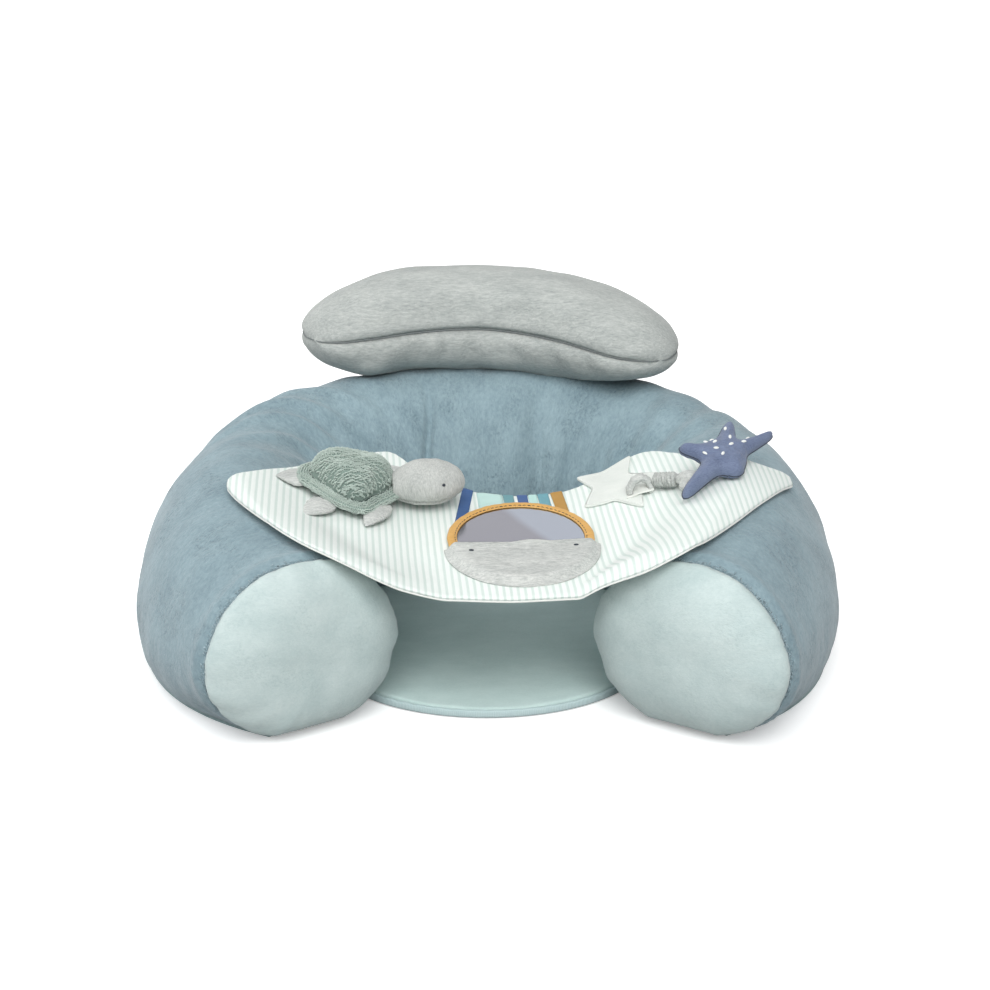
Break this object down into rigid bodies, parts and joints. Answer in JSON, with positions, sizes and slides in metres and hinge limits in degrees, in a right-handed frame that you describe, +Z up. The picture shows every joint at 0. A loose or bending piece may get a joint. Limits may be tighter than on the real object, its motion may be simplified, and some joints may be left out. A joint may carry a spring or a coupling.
{
  "type": "baby floor seat",
  "caption": "Stuffed horseshoe bolster on a padded base, with a lift-off play tray across its arms that holds a mirror, ribbons and soft toys, and a crescent pillow on its back.",
  "frame": {"origin": "on the underside of the base panel, at the middle of the seat's width and under its widest place", "axes": "X is the seat's width, -Y is its open front, Z is up"},
  "size_m": [0.6258, 0.5523, 0.2897],
  "materials": {
    "plush": "short blue-grey plush pile",
    "stuffing": "polyester fibre, wadding and foam, hidden",
    "velour": "pale sage velour",
    "base_cloth": "woven backing cloth and bias binding",
    "zip_tape": "zip tape and nylon teeth",
    "zip_metal": "satin grey",
    "fastening": "hook and loop fastening",
    "striped_cotton": "quilted cotton, fine pale green stripes",
    "calico": "plain cotton",
    "grey_jersey": "light grey marl jersey",
    "dark_thread": "satin stitch",
    "white_thread": "satin stitch",
    "royal_ribbon": "satin ribbon",
    "aqua_ribbon": "crinkled soft ribbon",
    "teal_ribbon": "woven ribbon",
    "navy_ribbon": "woven ribbon",
    "mint_ribbon": "woven ribbon",
    "sky_ribbon": "woven ribbon",
    "mustard_ribbon": "woven ribbon",
    "white_felt": "soft white felt",
    "elastic": "elastic cord",
    "mustard_binding": "mustard jersey",
    "mirror_sheet": "acrylic safety mirror",
    "green_terry": "sage green terry",
    "navy_jersey": "navy marl jersey"
  },
  "bodies": {
    "seat": {"ring_cover": "plush", "ring_filling": "stuffing", "left_end_panel": "velour", "right_end_panel": "velour", "base_panel": "base_cloth", "base_padding": "stuffing", "zip_tapes": "zip_tape", "zip_coils": "zip_tape", "zip_stops": "zip_metal", "arm_loop_patches": "fastening", "seat_pad_foam": "stuffing", "seat_pad_cover": "velour", "seat_pad_binding": "base_cloth"},
    "zip_slider": {"zip_slider": "zip_metal"},
    "tray": {"tray_top": "striped_cotton", "tray_wadding": "stuffing", "tray_backing": "calico", "tray_hook_patches": "fastening", "mirror_pocket": "grey_jersey", "pocket_eyes": "dark_thread", "ribbon_royal": "royal_ribbon", "ribbon_aqua": "aqua_ribbon", "ribbon_teal": "teal_ribbon", "ribbon_navy": "navy_ribbon", "ribbon_mint": "mint_ribbon", "ribbon_sky": "sky_ribbon", "ribbon_mustard": "mustard_ribbon", "star_patch": "white_felt", "cord_tab": "white_felt", "cord_loop": "grey_jersey", "pull_sleeve": "grey_jersey", "pull_elastic": "elastic"},
    "mirror": {"mirror_ring": "mustard_binding", "mirror_face": "mirror_sheet", "mirror_back": "mustard_binding"},
    "turtle": {"turtle_shell": "green_terry", "turtle_rim": "green_terry", "turtle_belly": "grey_jersey", "turtle_head": "grey_jersey", "turtle_eyes": "dark_thread", "front_left_flipper": "grey_jersey", "front_right_flipper": "grey_jersey", "rear_left_flipper": "grey_jersey", "rear_right_flipper": "grey_jersey"},
    "starfish": {"starfish_body": "navy_jersey", "starfish_stitches": "white_thread", "cord_bulb": "grey_jersey"},
    "pillow": {"pillow_top": "grey_jersey", "pillow_bottom": "grey_jersey", "pillow_filling": "stuffing"}
  },
  "joints": [
    {"name": "zip_pull", "type": "slide", "parent": "seat", "child": "zip_slider", "axis": [-1, 0, 0], "range_m": [0, 0.23]},
    {"name": "tray_lift", "type": "slide", "parent": "seat", "child": "tray", "axis": [0, 0, 1], "range_m": [0, 0.12]},
    {"name": "mirror_slide", "type": "slide", "parent": "tray", "child": "mirror", "axis": [-0.0872, 0.9865, 0.1386], "range_m": [0, 0.014]},
    {"name": "turtle_lift", "type": "slide", "parent": "tray", "child": "turtle", "axis": [0, 0, 1], "range_m": [0, 0.06]},
    {"name": "star_pull", "type": "slide", "parent": "tray", "child": "starfish", "axis": [0.7323, -0.6366, 0.2419], "range_m": [0, 0.04], "stiffness_N_per_m": 60, "deforming": ["pull_sleeve", "pull_elastic"]},
    {"name": "pillow_lift", "type": "slide", "parent": "seat", "child": "pillow", "axis": [0, 0, 1], "range_m": [0, 0.08]}
  ]
}
